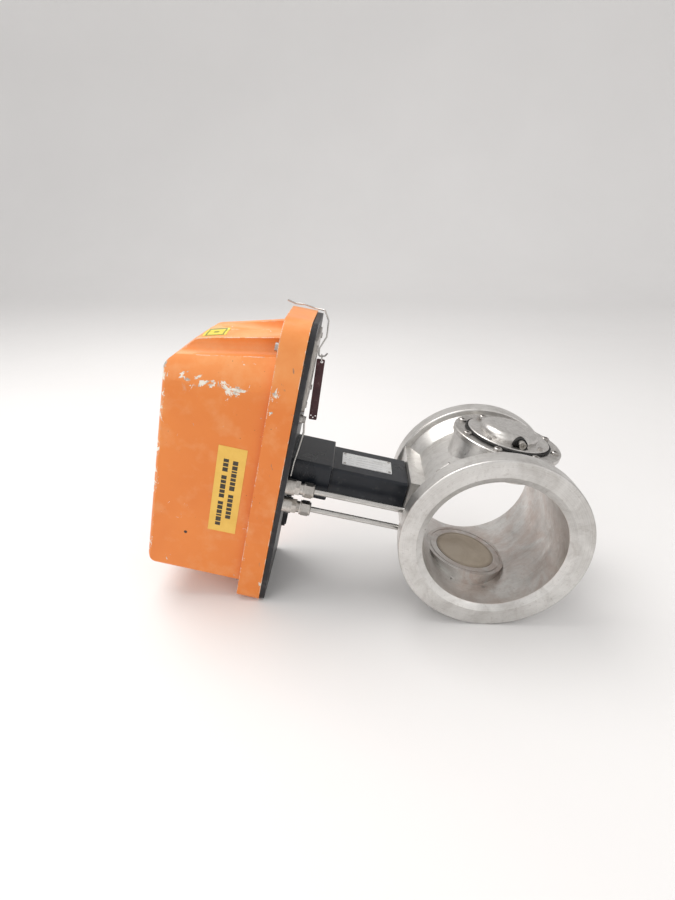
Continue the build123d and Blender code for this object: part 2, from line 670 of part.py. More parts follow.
def groove_cut(grow, extend):
    """The roof channels as one cutter, grown by the wall thickness for the inside."""
    with BuildPart() as g:
        for a, b, r in GROOVES:
            pa, pb = pt(*a), pt(*b)
            d = (pb - pa).normalized()
            with BuildSketch(Plane(origin=pa - d * extend, x_dir=(0, 1, 0), z_dir=d)):
                Circle(r + grow)
            extrude(amount=(pb - pa).length + 2 * extend)
    return g.part


def side_limit(back):
    """Side outline of the body: flat front, sloping front of the roof, rounded lower front."""
    (n0, h0), (n1, h1) = SLOPE
    length = math.hypot(n1 - n0, h1 - h0)
    un, uh = (n1 - n0) / length, (h1 - h0) / length
    low = BODY_LOW + back
    front = FRONT_N - back
    p0 = (n0 - uh * back, h0 + un * back)
    # the sloping line meets the front at h_a and the roof line at n_b
    h_a = p0[1] + (front - p0[0]) * uh / un
    n_b = n1 - uh * back * 0.8
    h_b = p0[1] + (n_b - p0[0]) * uh / un
    with BuildPart() as w:
        with BuildSketch(side(-80.0)) as sk:
            with BuildLine():
                Polyline((250.0, low), (front, low), (front, h_a), (n_b, h_b), (250.0, 176.0 - back),
                         (250.0, low))
            make_face()
            fillet([v for v in sk.vertices() if abs(v.X - front) < 1e-3 and abs(v.Y - low) < 1e-3],
                   radius=LOW_FRONT_R - back)
            fillet([v for v in sk.vertices() if abs(v.X - front) < 1e-3 and abs(v.Y - h_a) < 1e-3], radius=13.0)
            fillet([v for v in sk.vertices() if abs(v.X - n_b) < 1e-3 and abs(v.Y - h_b) < 1e-3], radius=14.0)
        extrude(amount=160.0)
    return w.part


def plan_limit(back):
    """Outline seen along h: rounds the two long edges of the front."""
    with BuildPart() as w:
        with BuildSketch(Plane(origin=pt(0, 0, -180.0), x_dir=N_DIR, z_dir=H_DIR)) as sk:
            with Locations(((240.0 + FRONT_N - back) / 2, 0)):
                Rectangle(FRONT_N - back - 240.0, 2 * (FRONT_Y + 1.0 - back))
            fillet([v for v in sk.vertices() if abs(v.X - FRONT_N + back) < 1e-3], radius=8.0 - back)
        extrude(amount=400.0)
    return w.part


outer_a = shell_section(262.0, 52.6, 98.0, 177.0, 150.0, BODY_LOW, 5.0)
outer_b = shell_section(FRONT_N + 4.0, FRONT_Y, 98.0, 139.5, 113.0, BODY_LOW, 5.0)
inner_a = shell_section(258.0, 49.6, 98.0, 174.0, 148.0, BODY_LOW + WALL, 4.0)
inner_b = shell_section(FRONT_N + 4.0, FRONT_Y - WALL, 98.0, 136.5, 111.0, BODY_LOW + WALL, 4.0)
channels = groove_cut(0.0, 0.0)
channel_walls = groove_cut(WALL, 6.0)
rim_outer = outline(COVER_N[0], 0.0)
rim_inner = outline(COVER_N[0], RIM_WALL)
outer_side, inner_side = side_limit(0.0), side_limit(WALL)
outer_plan, inner_plan = plan_limit(0.0), plan_limit(WALL)

with BuildPart() as cover_core:
    loft([inner_a, inner_b])
    add(inner_side, mode=Mode.INTERSECT)
    add(inner_plan, mode=Mode.INTERSECT)
    add(channel_walls, mode=Mode.SUBTRACT)

with BuildPart() as cover:
    loft([outer_a, outer_b])
    add(outer_side, mode=Mode.INTERSECT)
    add(outer_plan, mode=Mode.INTERSECT)
    add(channels, mode=Mode.SUBTRACT)
    extrude(rim_outer, amount=COVER_N[1] - COVER_N[0], taper=1.6)
    extrude(rim_inner, amount=COVER_N[1] - COVER_N[0] - 4.0, taper=1.6, mode=Mode.SUBTRACT)
    add(cover_core.part, mode=Mode.SUBTRACT)
    # screw columns behind the rim face
    with BuildSketch(across_n(COVER_N[0])):
        with Locations(*[(-y, h) for y, h in SCREW_POS]):
            Circle(6.2)
    extrude(amount=COVER_N[1] - COVER_N[0] - 2.0)
    with BuildSketch(across_n(COVER_N[0])):
        with Locations(*[(-y, h) for y, h in SCREW_POS]):
            Circle(3.3)
    extrude(amount=COVER_N[1] - COVER_N[0] + 6.0, mode=Mode.SUBTRACT)
keep(cover, "cover")

with BuildPart() as cover_screws:
    with BuildSketch(across_n(COVER_N[1] + 0.1)):
        with Locations(*[(-y, h) for y, h in SCREW_POS]):
            Circle(2.92)
    extrude(amount=-(COVER_N[1] + 0.1 - 239.4))
    with BuildSketch(across_n(COVER_N[1] + 0.1)):
        with Locations(*[(-y, h) for y, h in SCREW_POS]):
            Circle(4.9)
    extrude(amount=5.6)
    with BuildSketch(across_n(COVER_N[1] + 5.7)):
        with Locations(*[(-y, h) for y, h in SCREW_POS]):
            RegularPolygon(2.7, 6)
    extrude(amount=-3.2, mode=Mode.SUBTRACT)
keep(cover_screws, "cover_screws")


# ------------------------------------------------------------------ back of the base
with BuildPart() as rear_plate:
    with BuildSketch(across_n(BASE_N[0])):
        with Locations((13.0, 131.5)):
            RectangleRounded(76.0, 78.0, 4.0)
        with Locations(*PLATE_SCREWS):
            Circle(1.7, mode=Mode.SUBTRACT)
        with Locations((13.0, 135.0)):
            RectangleRounded(34.0, 34.0, 3.0, mode=Mode.SUBTRACT)
    extrude(amount=-3.0)
    chamfer(rear_plate.faces().sort_by(Axis(origin=(0, 0, 0), direction=N_DIR))[0].outer_wire().edges(), 0.5)
keep(rear_plate, "rear_plate")

with BuildPart() as rear_plate_screws:
    with BuildSketch(across_n(BASE_N[0] - 3.0)):
        with Locations(*PLATE_SCREWS):
            Circle(1.55)
    extrude(amount=5.6)
    with BuildSketch(across_n(BASE_N[0] - 3.0)):
        with Locations(*PLATE_SCREWS):
            Circle(3.1)
    extrude(amount=-1.3)
    with BuildSketch(across_n(BASE_N[0] - 4.3)):
        with Locations(*PLATE_SCREWS):
            Rectangle(4.8, 0.8)
    extrude(amount=0.7, mode=Mode.SUBTRACT)
keep(rear_plate_screws, "rear_plate_screws")

EARTH = (-47.0, 84.0)       # (y, h) of the earth screw; its washer clamps the earth wire's eye
with BuildPart() as earth_screw:
    with BuildSketch(across_n(BASE_N[0] - 3.0)):
        with Locations((-EARTH[0], EARTH[1])):
            Circle(2.05)
    extrude(amount=5.8)
    with BuildSketch(across_n(BASE_N[0] - 3.0)):
        with Locations((-EARTH[0], EARTH[1])):
            RegularPolygon(4.0, 6)
    extrude(amount=-3.4)
keep(earth_screw, "earth_screw")

# solid earth conductor from the earth screw down to the upper gland
WIRE_R = 1.1
with BuildPart() as earth_wire:
    with BuildLine() as earth_path:
        FilletPolyline(
            pt(231.9, EARTH[0], EARTH[1] - 5.0), pt(230.6, EARTH[0], 70.0), pt(232.4, EARTH[0], 50.0),
            pt(234.6, EARTH[0], 32.0), pt(235.2, EARTH[0], 14.6), radius=8.0,
        )
    with BuildSketch(Plane(origin=earth_path.line @ 0, z_dir=earth_path.line % 0)):
        Circle(WIRE_R)
    sweep()
keep(earth_wire, "earth_wire")

with BuildPart() as earth_eye:
    with BuildSketch(across_n(BASE_N[0])):
        with Locations((-EARTH[0], EARTH[1])):
            Circle(5.0)
            Circle(2.3, mode=Mode.SUBTRACT)
    extrude(amount=-1.6)
    with BuildSketch(across_n(BASE_N[0] - 1.6)):
        with Locations((-EARTH[0], EARTH[1])):
            Circle(4.6)
            Circle(2.2, mode=Mode.SUBTRACT)
    extrude(amount=-1.3)
keep(earth_eye, "earth_washers")

with BuildPart() as entry_plugs:
    for eh in (-60.0, -96.0):
        with BuildSketch(across_n(BASE_N[0], 38.0, eh)):
            Circle(8.0)
        extrude(amount=2.9)
        with BuildSketch(across_n(BASE_N[0], 38.0, eh)):
            RegularPolygon(10.4, 6)
        extrude(amount=-4.5)
        with BuildSketch(across_n(BASE_N[0] - 4.5, 38.0, eh)):
            Circle(7.8)
        extrude(amount=-1.5)
keep(entry_plugs, "entry_plugs")

# ------------------------------------------------------------------ electronics
with BuildPart() as board_standoffs:
    for y, h in STANDOFFS:
        with BuildSketch(across_n(240.5, y, h)):
            RegularPolygon(3.0, 6)
            Circle(1.3, mode=Mode.SUBTRACT)
        extrude(amount=14.5)
keep(board_standoffs, "board_standoffs")

with BuildPart() as main_board:
    with BuildSketch(across_n(255.0, 0, -3.0)):
        RectangleRounded(82.0, 214.0, 2.0)
        with Locations(*[(-y, h + 3.0) for y, h in STANDOFFS]):
            Circle(1.6, mode=Mode.SUBTRACT)
    extrude(amount=1.6)
keep(main_board, "main_board")

with BuildPart() as board_screws:
    for y, h in STANDOFFS:
        with BuildSketch(across_n(256.6, y, h)):
            Circle(1.25)
        extrude(amount=-8.0)
        with BuildSketch(across_n(256.6, y, h)):
            Circle(2.7)
        extrude(amount=2.0)
        with BuildSketch(across_n(258.6, y, h)):
            Rectangle(4.0, 0.7)
            Rectangle(0.7, 4.0)
        extrude(amount=-0.9, mode=Mode.SUBTRACT)
keep(board_screws, "board_screws")

with BuildPart() as rf_module:
    with BuildSketch(across_n(256.7, 4.0, -10.0)):
        RectangleRounded(56.0, 74.0, 1.5)
    extrude(amount=17.0)
    fillet(rf_module.faces().sort_by(Axis(origin=(0, 0, 0), direction=N_DIR))[-1].edges(), 1.2)
    with BuildSketch(across_n(273.7, 4.0, -10.0)):
        with GridLocations(48.0, 66.0, 2, 2):
            Circle(1.6)
    extrude(amount=0.8)
    with BuildSketch(across_n(273.7, 4.0, -10.0)):
        with Locations((-12.0, -12.0), (-12.0, 12.0)):
            Circle(3.2)
    extrude(amount=7.0)
keep(rf_module, "rf_module")

with BuildPart() as power_supply:
    with BuildSketch(across_n(256.7, 0.0, 62.0)):
        RectangleRounded(58.0, 44.0, 2.0)
    extrude(amount=26.0)
    chamfer(power_supply.faces().sort_by(Axis(origin=(0, 0, 0), direction=N_DIR))[-1].edges(), 1.5)
    with BuildSketch(across_n(282.7, 0.0, 62.0)):
        Rectangle(40.0, 26.0)
    extrude(amount=5.0)
keep(power_supply, "power_supply")

with BuildPart() as terminal_block:
    with BuildSketch(across_n(256.7, 0.0, -82.0)):
        Rectangle(60.0, 15.0)
    extrude(amount=13.0)
    with BuildSketch(across_n(269.7, 0.0, -82.0)):
        with GridLocations(7.5, 1.0, 7, 1):
            Circle(2.4)
    extrude(amount=-3.0, mode=Mode.SUBTRACT)
keep(terminal_block, "terminal_block")

# ------------------------------------------------------------------ tie wire and hanging tag
TAG_Y = 4.0
PIVOT = (229.0, TAG_Y, 142.5)       # (n, y, h) of the wire loop that the tag hangs from
PIV = pt(*PIVOT)
TIE_R = 0.9
TAG_LEAN = 8.6                      # lean of the tag in its own plane, degrees
with BuildPart() as tag_wire:
    with BuildLine() as tie_path:
        FilletPolyline(
            PIV + Vector(6.5, 0.0, 3.2), PIV + Vector(3.4, 0.0, 0.0), PIV + Vector(-3.4, 0.0, 0.0),
            PIV + Vector(-2.6, 2.0, 8.0), pt(228.0, TAG_Y + 8.0, 163.0), pt(229.5, TAG_Y + 14.0, 179.5),
            pt(236.0, TAG_Y + 18.0, 189.2), pt(247.0, TAG_Y + 21.0, 188.5), pt(259.0, TAG_Y + 23.0, 189.8),
            pt(270.0, TAG_Y + 24.0, 188.4), pt(279.0, TAG_Y + 24.0, 190.4), radius=1.9,
        )
    with BuildSketch(Plane(origin=tie_path.line @ 0, z_dir=tie_path.line % 0)):
        Circle(TIE_R)
    sweep(transition=Transition.ROUND)
keep(tag_wire, "tag_wire")

# the ring goes round the wire and through the eye of the tag
RING_C = PIV + Vector(0, 0, -2.4)
with BuildPart() as tag_ring:
    with BuildSketch(Plane(origin=RING_C - Vector(0.5, 0, 0), x_dir=(0, 1, 0), z_dir=(1, 0, 0))):
        Circle(4.6)
        Circle(3.6, mode=Mode.SUBTRACT)
    extrude(amount=1.0)
keep(tag_ring, "tag_ring")

# tag plate, facing -Y: local x along +X, local y up, leaning about its eye
lean = math.radians(TAG_LEAN)
EYE = RING_C + Vector(0, 0, -4.1)
TAG_X = Vector(math.cos(lean), 0, -math.sin(lean))
with BuildPart() as tag_plate:
    with BuildSketch(Plane(origin=EYE + Vector(0, 0.55, 0), x_dir=TAG_X, z_dir=(0, -1, 0))):
        with Locations((-1.4, -33.5)):
            RectangleRounded(9.4, 73.0, 1.6)
        Circle(1.5, mode=Mode.SUBTRACT)
        with Locations((-4.0, -65.0), (-1.4, -67.2), (1.2, -65.0)):
            Circle(0.8, mode=Mode.SUBTRACT)
    extrude(amount=1.1)
keep(tag_plate, "tag_plate")

for name, p in parts.items():
    p.label = name

os.makedirs("parts", exist_ok=True)
for name, p in parts.items():
    export_step(p, "parts/" + name + ".step")
for sgn in (1, -1):
    s0, b0, bm, tn, md, en = tube_points(sgn)
    print("tube", sgn, "bend radius", TUBE_BEND[sgn], "run radius", TUBE_RUN_R)
print(len(parts), "nodes")
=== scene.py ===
"""Looks for the in-line concentration transmitter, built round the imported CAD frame."""

import math

import bmesh
import bpy
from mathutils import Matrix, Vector
from mathutils.bvhtree import BVHTree


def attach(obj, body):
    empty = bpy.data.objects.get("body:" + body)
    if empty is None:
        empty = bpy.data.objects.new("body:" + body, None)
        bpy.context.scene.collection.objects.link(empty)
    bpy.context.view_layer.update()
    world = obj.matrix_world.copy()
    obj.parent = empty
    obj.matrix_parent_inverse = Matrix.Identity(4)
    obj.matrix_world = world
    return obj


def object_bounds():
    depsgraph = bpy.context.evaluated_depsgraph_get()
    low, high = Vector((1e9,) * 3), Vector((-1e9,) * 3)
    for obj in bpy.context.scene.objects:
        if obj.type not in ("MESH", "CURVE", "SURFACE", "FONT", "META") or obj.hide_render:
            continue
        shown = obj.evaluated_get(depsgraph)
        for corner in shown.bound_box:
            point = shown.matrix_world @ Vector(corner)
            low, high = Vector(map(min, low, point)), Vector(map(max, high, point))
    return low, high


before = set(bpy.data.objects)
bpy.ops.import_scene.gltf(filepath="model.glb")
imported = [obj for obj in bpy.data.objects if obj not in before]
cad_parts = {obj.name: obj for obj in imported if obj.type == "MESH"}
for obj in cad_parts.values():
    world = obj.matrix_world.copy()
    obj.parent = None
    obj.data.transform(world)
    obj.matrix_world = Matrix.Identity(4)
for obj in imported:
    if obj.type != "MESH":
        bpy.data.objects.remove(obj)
cad_lo, cad_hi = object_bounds()

# tilted directions of the part: n out along the neck, h across it, y along the pipe
TILT = math.radians(12.1)
C, S = math.cos(TILT), math.sin(TILT)
N_DIR = (-C, 0.0, S)
H_DIR = (S, 0.0, C)


def pt(n, y, h):
    """A point in metres from tilted coordinates in millimetres."""
    return Vector(((-n * C + h * S) / 1000.0, y / 1000.0, (n * S + h * C) / 1000.0))


# ------------------------------------------------------------------ node helper
class Mat:
    def __init__(self, name, metallic=0.0, specular=0.5):
        self.m = bpy.data.materials.new(name)
        self.m.use_nodes = True
        self.t = self.m.node_tree
        self.t.nodes.clear()
        self.out = self.add("ShaderNodeOutputMaterial")
        self.b = self.add("ShaderNodeBsdfPrincipled")
        self.t.links.new(self.b.outputs["BSDF"], self.out.inputs["Surface"])
        self.b.inputs["Metallic"].default_value = metallic
        self.b.inputs["Specular IOR Level"].default_value = specular
        self.obj = self.add("ShaderNodeTexCoord").outputs["Object"]

    def add(self, kind, **props):
        n = self.t.nodes.new(kind)
        for k, v in props.items():
            setattr(n, k, v)
        return n

    def put(self, socket, value):
        if isinstance(value, bpy.types.NodeSocket):
            self.t.links.new(value, socket)
        else:
            socket.default_value = value

    def math(self, op, a, b=0.0, clamp=False):
        n = self.add("ShaderNodeMath", operation=op, use_clamp=clamp)
        self.put(n.inputs[0], a)
        self.put(n.inputs[1], b)
        return n.outputs[0]

    def dot(self, direction, scale=1.0):
        n = self.add("ShaderNodeVectorMath", operation="DOT_PRODUCT")
        self.put(n.inputs[0], self.obj)
        n.inputs[1].default_value = [c * scale for c in direction]
        return n.outputs["Value"]

    def vec(self, x, y, z):
        n = self.add("ShaderNodeCombineXYZ")
        for s, v in zip(n.inputs, (x, y, z)):
            self.put(s, v)
        return n.outputs[0]

    def scaled(self, sx, sy, sz, rot=(0, 0, 0)):
        n = self.add("ShaderNodeMapping")
        self.put(n.inputs["Vector"], self.obj)
        n.inputs["Rotation"].default_value = rot
        n.inputs["Scale"].default_value = (sx, sy, sz)
        return n.outputs[0]

    def noise(self, scale, detail=3.0, rough=0.55, vector=None, distort=0.0):
        n = self.add("ShaderNodeTexNoise")
        self.put(n.inputs["Vector"], vector or self.obj)
        n.inputs["Scale"].default_value = scale
        n.inputs["Detail"].default_value = detail
        n.inputs["Roughness"].default_value = rough
        n.inputs["Distortion"].default_value = distort
        return n.outputs["Fac"]

    def cells(self, scale, vector=None, feature="F1"):
        n = self.add("ShaderNodeTexVoronoi", feature=feature)
        self.put(n.inputs["Vector"], vector or self.obj)
        n.inputs["Scale"].default_value = scale
        return n.outputs["Distance"]

    def span(self, v, a, b, c=0.0, d=1.0, smooth=False):
        n = self.add("ShaderNodeMapRange")
        if smooth:
            n.interpolation_type = "SMOOTHSTEP"
        self.put(n.inputs["Value"], v)
        for k, x in zip(("From Min", "From Max", "To Min", "To Max"), (a, b, c, d)):
            n.inputs[k].default_value = x
        return n.outputs["Result"]

    def mix(self, fac, a, b, blend="MIX"):
        n = self.add("ShaderNodeMix", data_type="RGBA", blend_type=blend)
        self.put(n.inputs[0], fac)
        for s, v in ((n.inputs[6], a), (n.inputs[7], b)):
            self.put(s, v if isinstance(v, bpy.types.NodeSocket) else (*v, 1.0))
        return n.outputs[2]

    def bump(self, height, strength, distance, normal=None):
        n = self.add("ShaderNodeBump")
        n.inputs["Strength"].default_value = strength
        n.inputs["Distance"].default_value = distance
        self.put(n.inputs["Height"], height)
        if normal is not None:
            self.put(n.inputs["Normal"], normal)
        return n.outputs["Normal"]

    def edges(self, radius, lo=0.05, hi=0.35):
        """1 on convex and concave edges, 0 on flats."""
        bev = self.add("ShaderNodeBevel", samples=4)
        bev.inputs["Radius"].default_value = radius
        geo = self.add("ShaderNodeNewGeometry")
        d = self.add("ShaderNodeVectorMath", operation="DOT_PRODUCT")
        self.put(d.inputs[0], bev.outputs["Normal"])
        self.put(d.inputs[1], geo.outputs["Normal"])
        return self.span(d.outputs["Value"], 1.0 - lo, 1.0 - hi)

    def done(self, colour, rough, normal=None):
        self.put(self.b.inputs["Base Color"], colour)
        self.put(self.b.inputs["Roughness"], rough)
        if normal is not None:
            self.put(self.b.inputs["Normal"], normal)
        return self.m


def turned_vector(m, k=1000.0):
    """Radius and length along the pipe: rings of equal value run round the axis."""
    x, y, z = m.dot((1, 0, 0)), m.dot((0, 1, 0)), m.dot((0, 0, 1))
    r = m.math("SQRT", m.math("ADD", m.math("MULTIPLY", x, x), m.math("MULTIPLY", z, z)))
    return m.vec(m.math("MULTIPLY", r, k), m.math("MULTIPLY", y, k), 0.0), r


# ------------------------------------------------------------------ materials
def spool_steel(name, stain=0.5, tint=(0.69, 0.680, 0.660), dark=(0.47, 0.455, 0.435)):
    m = Mat(name, metallic=0.88)
    v, r = turned_vector(m)
    lines = m.noise(1.6, 4.0, 0.65, v)
    wide = m.noise(0.22, 3.0, 0.6, v)
    cloud = m.noise(14.0, 5.0, 0.62, distort=0.6)
    fine = m.noise(260.0, 2.0, 0.7)
    base = m.mix(m.span(cloud, 0.35, 0.70), tint, dark)
    base = m.mix(m.span(lines, 0.42, 0.66, 0.0, 0.34), base, (0.80, 0.79, 0.77))
    blot = m.noise(46.0, 5.0, 0.70, distort=0.8)
    base = m.mix(m.span(blot, 0.50, 0.70, 0.0, 0.42), base, (0.36, 0.335, 0.31))
    base = m.mix(m.span(blot, 0.46, 0.30, 0.0, 0.35), base, (0.84, 0.83, 0.81))
    base = m.mix(m.span(fine, 0.60, 0.74, 0.0, 0.28), base, (0.30, 0.26, 0.23))
    # brown staining inside the bore, heavier low down and on the far side
    inside = m.span(r, 0.0800, 0.0786)
    patch = m.noise(26.0, 6.0, 0.66, distort=1.1)
    low = m.span(m.dot((0.75, 0.1, -0.65)), -0.02, 0.075)
    amount = m.math("MULTIPLY", inside, m.math("MULTIPLY", m.span(patch, 0.38, 0.62), m.math("ADD", 0.35, low)), clamp=True)
    base = m.mix(m.math("MULTIPLY", amount, stain, clamp=True), base, (0.44, 0.29, 0.225))
    # dark pits and handling marks
    pit = m.math("MULTIPLY", m.span(m.cells(75.0), 0.10, 0.03), m.span(m.noise(22.0), 0.52, 0.60))
    base = m.mix(m.math("MULTIPLY", pit, 0.75), base, (0.12, 0.10, 0.09))
    rough = m.math("ADD", m.span(wide, 0.3, 0.7, 0.27, 0.42), m.span(cloud, 0.3, 0.7, -0.03, 0.09))
    nor = m.bump(lines, 0.16, 0.0006)
    nor = m.bump(m.math("ADD", m.math("MULTIPLY", cloud, 0.5), m.math("MULTIPLY", fine, 0.12)), 0.25, 0.0009, nor)
    return m.done(base, rough, nor)


def brushed(name, tint, dark, stretch=(900.0, 40.0, 900.0), rough=(0.22, 0.40), grime=0.35, metallic=1.0, rot=(0, 0, 0)):
    m = Mat(name, metallic=metallic)
    v = m.scaled(*stretch, rot=rot)
    grain = m.noise(1.0, 3.0, 0.6, v)
    cloud = m.noise(38.0, 5.0, 0.6, distort=0.5)
    base = m.mix(m.span(grain, 0.30, 0.72), tint, dark)
    edge = m.edges(0.0006)
    base = m.mix(m.math("MULTIPLY", m.span(cloud, 0.46, 0.72), grime), base, (0.16, 0.135, 0.115))
    base = m.mix(m.math("MULTIPLY", edge, 0.5), base, tuple(min(1.0, c * 1.35) for c in tint))
    ro = m.math("ADD", m.span(grain, 0.3, 0.7, rough[0], rough[1]), m.span(cloud, 0.35, 0.75, 0.0, 0.12))
    nor = m.bump(m.math("ADD", grain, m.math("MULTIPLY", cloud, 0.7)), 0.14, 0.0005)
    return m.done(base, ro, nor)


def orange_paint():
    m = Mat("orange_enamel", specular=0.45)
    n, y, h = m.dot(N_DIR), m.dot((0, 1, 0)), m.dot(H_DIR)
    cloud = m.noise(9.0, 4.0, 0.55, distort=0.4)
    grain = m.noise(520.0, 2.0, 0.6)
    fade_and_sheen = m.noise(34.0, 4.0, 0.6)
    base = m.mix(m.span(cloud, 0.32, 0.70), (0.790, 0.240, 0.042), (0.715, 0.190, 0.028))
    # painted highlight: the roof above the shoulder is painted lighter, as if lit from above; also random lighter
    # rubbed patches
    up = m.span(h, 0.090, 0.135)
    # the lighter roof colour here is a painted highlight, not a change in the paint
    base = m.mix(m.math("MULTIPLY", up, m.span(fade_and_sheen, 0.30, 0.75, 0.25, 0.62)), base, (0.90, 0.42, 0.145))
    base = m.mix(m.span(fade_and_sheen, 0.50, 0.72, 0.0, 0.50), base, (0.80, 0.36, 0.14))
    # grime specks and dark rubs
    speck = m.math("MULTIPLY", m.span(m.cells(120.0), 0.085, 0.03), m.span(m.noise(17.0), 0.54, 0.60))
    base = m.mix(m.math("MULTIPLY", speck, 0.8), base, (0.13, 0.055, 0.025))
    scuff_v = m.scaled(60.0, 220.0, 30.0, rot=(0.3, 0.5, 0.2))
    scuff = m.math("MULTIPLY", m.span(m.noise(1.0, 5.0, 0.7, scuff_v), 0.64, 0.72), m.span(m.noise(11.0), 0.50, 0.62))
    base = m.mix(m.math("MULTIPLY", scuff, 0.7), base, (0.60, 0.42, 0.30))
    dn = m.math("SUBTRACT", n, 0.3440)
    dh = m.math("SUBTRACT", h, -0.0860)
    dot = m.math("SQRT", m.math("ADD", m.math("MULTIPLY", dn, dn), m.math("MULTIPLY", dh, dh)))
    dot = m.math("MULTIPLY", m.span(dot, 0.0022, 0.0017), m.span(y, -0.040, -0.045))
    base = m.mix(dot, base, (0.030, 0.022, 0.018))
    # short dark strokes on the rim, as left by rough handling
    stroke = m.math("MULTIPLY", m.span(m.noise(1.0, 4.0, 0.7, m.scaled(190.0, 190.0, 50.0, rot=(0.1, 0.9, 0.0))), 0.63, 0.70),
                    m.math("MULTIPLY", m.span(y, -0.0540, -0.0565), m.span(m.noise(24.0, 2.0), 0.50, 0.58)))
    base = m.mix(m.math("MULTIPLY", stroke, 0.75), base, (0.20, 0.15, 0.12))
    # chips down to pale primer: along the edges and the near shoulder of the roof
    edge = m.edges(0.0022, 0.03, 0.22)
    shoulder = m.math("MULTIPLY",
                      m.span(m.math("ABSOLUTE", m.math("SUBTRACT", h, 0.1020)), 0.0100, 0.0010),
                      m.span(y, -0.036, -0.044))
    # the worst of it is in the middle of the shoulder
    shoulder = m.math("MULTIPLY", shoulder, m.span(m.math("ABSOLUTE", m.math("SUBTRACT", n, 0.3300)), 0.046, 0.018, 0.45, 1.75))
    front = m.math("MULTIPLY", m.span(n, 0.3795, 0.3865), m.span(y, -0.035, -0.046))
    bias = m.math("ADD", m.math("MULTIPLY", edge, 0.16), m.math("ADD", m.math("MULTIPLY", shoulder, 0.13), m.math("MULTIPLY", front, 0.12)))
    chipn = m.noise(58.0, 6.0, 0.70, distort=0.9)
    chip = m.span(m.math("ADD", chipn, bias), 0.668, 0.684)
    small = m.math("MULTIPLY", m.span(m.cells(46.0), 0.075, 0.045), m.span(m.noise(9.0, 2.0, 0.5, m.scaled(1, 1, 1, rot=(0.7, 0.2, 1.1))), 0.56, 0.60))
    chip = m.math("MAXIMUM", chip, small)
    base = m.mix(chip, base, m.mix(m.span(m.noise(150.0), 0.5, 0.68), (0.80, 0.76, 0.66), (0.42, 0.39, 0.34)))
    rough = m.math("ADD", m.span(fade_and_sheen, 0.3, 0.75, 0.34, 0.52), m.math("MULTIPLY", chip, 0.25))
    nor = m.bump(m.math("ADD", m.math("MULTIPLY", grain, 0.25), m.math("MULTIPLY", m.noise(70.0, 3.0), 0.6)), 0.16, 0.0007)
    nor = m.bump(m.math("SUBTRACT", 1.0, chip), 0.5, 0.0003, nor)
    m.b.inputs["Coat Weight"].default_value = 0.12
    m.b.inputs["Coat Roughness"].default_value = 0.30
    return m.done(base, rough, nor)


def black_paint(name, col=(0.014, 0.016, 0.021), lit=(0.040, 0.042, 0.050), rough=(0.30, 0.46), wear=0.5, chips=0.0):
    m = Mat(name, specular=0.34)
    cloud = m.noise(16.0, 5.0, 0.6, distort=0.4)
    grain = m.noise(420.0, 2.0, 0.6)
    base = m.mix(m.span(cloud, 0.35, 0.72), col, lit)
    dust = m.span(m.noise(90.0, 5.0, 0.7), 0.56, 0.74, 0.0, 0.22)
    base = m.mix(dust, base, (0.20, 0.19, 0.185))
    edge = m.edges(0.0011, 0.03, 0.25)
    rub = m.math("MULTIPLY", edge, m.span(m.noise(45.0, 5.0, 0.7), 0.40, 0.62, 0.0, wear))
    base = m.mix(rub, base, (0.36, 0.35, 0.34))
    if chips:
        c = m.span(m.math("ADD", m.noise(64.0, 6.0, 0.7, distort=0.8), m.math("MULTIPLY", edge, 0.10)), 0.70, 0.72)
        base = m.mix(m.math("MULTIPLY", c, chips), base, (0.62, 0.60, 0.57))
    ro = m.math("ADD", m.span(cloud, 0.3, 0.75, *rough), m.math("MULTIPLY", dust, 0.8))
    nor = m.bump(m.math("ADD", m.math("MULTIPLY", grain, 0.4), cloud), 0.14, 0.0006)
    return m.done(base, ro, nor)


def plastic(name, a, b, rough=(0.36, 0.52), scale=60.0, specular=0.45, fleck=(0.3, 0.3, 0.3), fleck_amount=0.18):
    m = Mat(name, specular=specular)
    cloud = m.noise(scale, 4.0, 0.6)
    grain = m.noise(900.0, 2.0, 0.6)
    base = m.mix(m.span(cloud, 0.35, 0.70), a, b)
    base = m.mix(m.span(m.noise(scale * 4.0, 5.0, 0.7), 0.60, 0.76, 0.0, fleck_amount), base, fleck)
    return m.done(base, m.span(cloud, 0.3, 0.75, *rough), m.bump(m.math("ADD", grain, cloud), 0.12, 0.0004))


def window_material():
    m = Mat("window_ceramic_stained", specular=0.4)
    cloud = m.noise(30.0, 5.0, 0.65, distort=1.0)
    ring = m.math("SQRT", m.math("ADD", m.math("POWER", m.dot(N_DIR), 2.0), m.math("POWER", m.dot((0, 1, 0)), 2.0)))
    base = m.mix(m.span(cloud, 0.34, 0.68), (0.600, 0.525, 0.425), (0.500, 0.425, 0.330))
    base = m.mix(m.span(m.noise(150.0, 5.0, 0.7), 0.55, 0.76, 0.0, 0.30), base, (0.56, 0.50, 0.42))
    base = m.mix(m.span(ring, 0.0315, 0.0362, 0.0, 0.45), base, (0.26, 0.20, 0.15))
    return m.done(base, m.span(cloud, 0.3, 0.7, 0.44, 0.60), m.bump(m.noise(240.0, 4.0), 0.20, 0.0005))


